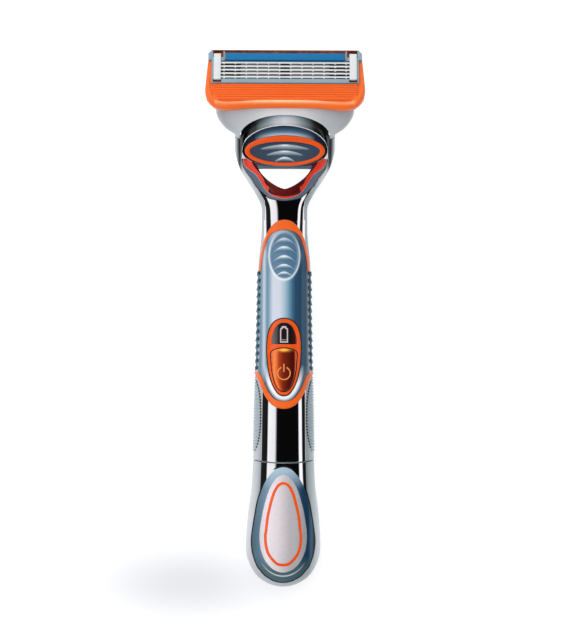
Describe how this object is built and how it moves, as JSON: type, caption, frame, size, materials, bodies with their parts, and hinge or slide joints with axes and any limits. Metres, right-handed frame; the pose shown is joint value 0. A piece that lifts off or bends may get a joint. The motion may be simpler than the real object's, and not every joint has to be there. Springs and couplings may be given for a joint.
{
  "type": "battery cartridge razor",
  "caption": "Slim vibrating cartridge razor: pivoting multi-blade head on a looped neck, soft grips, thumb switch and a twist-off battery cap.",
  "frame": {"origin": "middle of the flat of the back grip that the razor lies on", "axes": "+X across, +Y along the handle towards the cartridge, +Z out of the face with the thumb switch"},
  "size_m": [0.042, 0.1418, 0.0238],
  "materials": {
    "satin_silver": "satin metallised plastic",
    "chrome": "bright plated",
    "orange_elastomer": "matte soft grip",
    "orange_plastic": "gloss",
    "pearl_blue": "pearl semi-gloss",
    "dark_blue_grip": "matte soft grip",
    "pearl_silver": "pearl",
    "clear_blue": "translucent satin",
    "blue_gel": "waxy",
    "bright_steel": "bright",
    "amber": "translucent",
    "black_gloss": "gloss",
    "grey_plastic": "matte",
    "board_green": "satin",
    "cell_wrap": "gloss wrap",
    "red_trim": "gloss",
    "lamp_white": "clear",
    "black_rubber": "matte"
  },
  "bodies": {
    "handle": {"handle_body": "satin_silver", "chrome_spine": "chrome", "side_grip_left": "satin_silver", "side_grip_right": "satin_silver", "back_grip": "dark_blue_grip", "front_grip": "pearl_blue", "grip_rim_upper": "orange_elastomer", "grip_rim_lower": "orange_elastomer", "switch_bezel": "orange_plastic", "battery_window": "black_gloss", "circuit_board": "board_green", "tactile_switch": "black_gloss", "indicator_lamp": "lamp_white", "inner_chassis": "grey_plastic", "front_contact": "bright_steel", "motor": "bright_steel", "seal_ring": "black_rubber", "neck_loop": "chrome", "loop_liner": "dark_blue_grip", "loop_trim": "red_trim", "plunger_spring": "bright_steel"},
    "power_key": {"power_button": "amber"},
    "switch_stem": {"switch_plunger": "grey_plastic"},
    "weight": {"eccentric_weight": "bright_steel"},
    "cell": {"battery": "cell_wrap"},
    "collar": {"bayonet_collar": "grey_plastic"},
    "cap": {"end_cap": "satin_silver", "cap_pad": "dark_blue_grip", "cap_badge": "pearl_silver", "cap_line": "orange_plastic", "battery_spring": "bright_steel"},
    "release": {"release_button": "dark_blue_grip", "button_ring": "orange_elastomer", "ejector": "grey_plastic"},
    "plunger": {"spring_plunger": "grey_plastic"},
    "yoke": {"connector_yoke": "satin_silver"},
    "cartridge": {"cartridge_frame": "clear_blue", "elastomer_guard": "orange_elastomer", "lubricating_strip": "blue_gel", "trimmer_blade": "bright_steel", "clip_left": "bright_steel", "clip_right": "bright_steel"},
    "float_1": {"blade_1": "bright_steel"},
    "float_2": {"blade_2": "bright_steel"},
    "float_3": {"blade_3": "bright_steel"},
    "float_4": {"blade_4": "bright_steel"},
    "float_5": {"blade_5": "bright_steel"}
  },
  "joints": [
    {"name": "cap_turn", "type": "hinge", "parent": "handle", "child": "collar", "pos_m": [0, -0.022, 0.0072], "axis": [0, 1, 0], "range_deg": [0, 35]},
    {"name": "cap_slide", "type": "slide", "parent": "collar", "child": "cap", "axis": [0, -1, 0], "range_m": [0, 0.06]},
    {"name": "battery_slide", "type": "slide", "parent": "handle", "child": "cell", "axis": [0, -1, 0], "range_m": [0, 0.0275]},
    {"name": "motor_spin", "type": "hinge", "parent": "handle", "child": "weight", "pos_m": [0, 0.038, 0.0069], "axis": [0, 1, 0], "continuous": true},
    {"name": "power_press", "type": "slide", "parent": "handle", "child": "power_key", "axis": [0, 0, -1], "range_m": [0, 0.0005], "stiffness_N_per_m": 800, "springref_m": -0.0005},
    {"name": "switch_press", "type": "slide", "parent": "handle", "child": "switch_stem", "axis": [0, 0, -1], "range_m": [0, 0.0005]},
    {"name": "release_press", "type": "slide", "parent": "handle", "child": "release", "axis": [0, 0.9397, 0.342], "range_m": [0, 0.0018], "stiffness_N_per_m": 600, "springref_m": -0.001, "deforming": ["plunger_spring"]},
    {"name": "cartridge_release", "type": "slide", "parent": "handle", "child": "yoke", "axis": [0, 0.9397, 0.342], "range_m": [0, 0.012]},
    {"name": "cartridge_pivot", "type": "hinge", "parent": "yoke", "child": "cartridge", "pos_m": [0, 0.0747, 0.0192], "axis": [-1, 0, 0], "range_deg": [0, 40], "stiffness_Nm_per_rad": 0.03, "springref_deg": -17.19},
    {"name": "plunger_slide", "type": "slide", "parent": "handle", "child": "plunger", "axis": [0, -0.9397, -0.342], "range_m": [0, 0.002], "deforming": ["plunger_spring"]},
    {"name": "blade_1_float", "type": "slide", "parent": "cartridge", "child": "float_1", "axis": [0, -0.4226, -0.9063], "range_m": [0, 0.0003], "stiffness_N_per_m": 500, "springref_m": -0.0003},
    {"name": "blade_2_float", "type": "slide", "parent": "cartridge", "child": "float_2", "axis": [0, -0.4226, -0.9063], "range_m": [0, 0.0003], "stiffness_N_per_m": 500, "springref_m": -0.0003},
    {"name": "blade_3_float", "type": "slide", "parent": "cartridge", "child": "float_3", "axis": [0, -0.4226, -0.9063], "range_m": [0, 0.0003], "stiffness_N_per_m": 500, "springref_m": -0.0003},
    {"name": "blade_4_float", "type": "slide", "parent": "cartridge", "child": "float_4", "axis": [0, -0.4226, -0.9063], "range_m": [0, 0.0003], "stiffness_N_per_m": 500, "springref_m": -0.0003},
    {"name": "blade_5_float", "type": "slide", "parent": "cartridge", "child": "float_5", "axis": [0, -0.4226, -0.9063], "range_m": [0, 0.0003], "stiffness_N_per_m": 500, "springref_m": -0.0003}
  ],
  "couplings": [
    {"joint": "battery_slide", "follows": "cap_slide", "ratio": 0.45},
    {"joint": "switch_press", "follows": "power_press", "ratio": 1},
    {"joint": "plunger_slide", "follows": "cartridge_pivot", "m_per_rad": 0.00275}
  ]
}
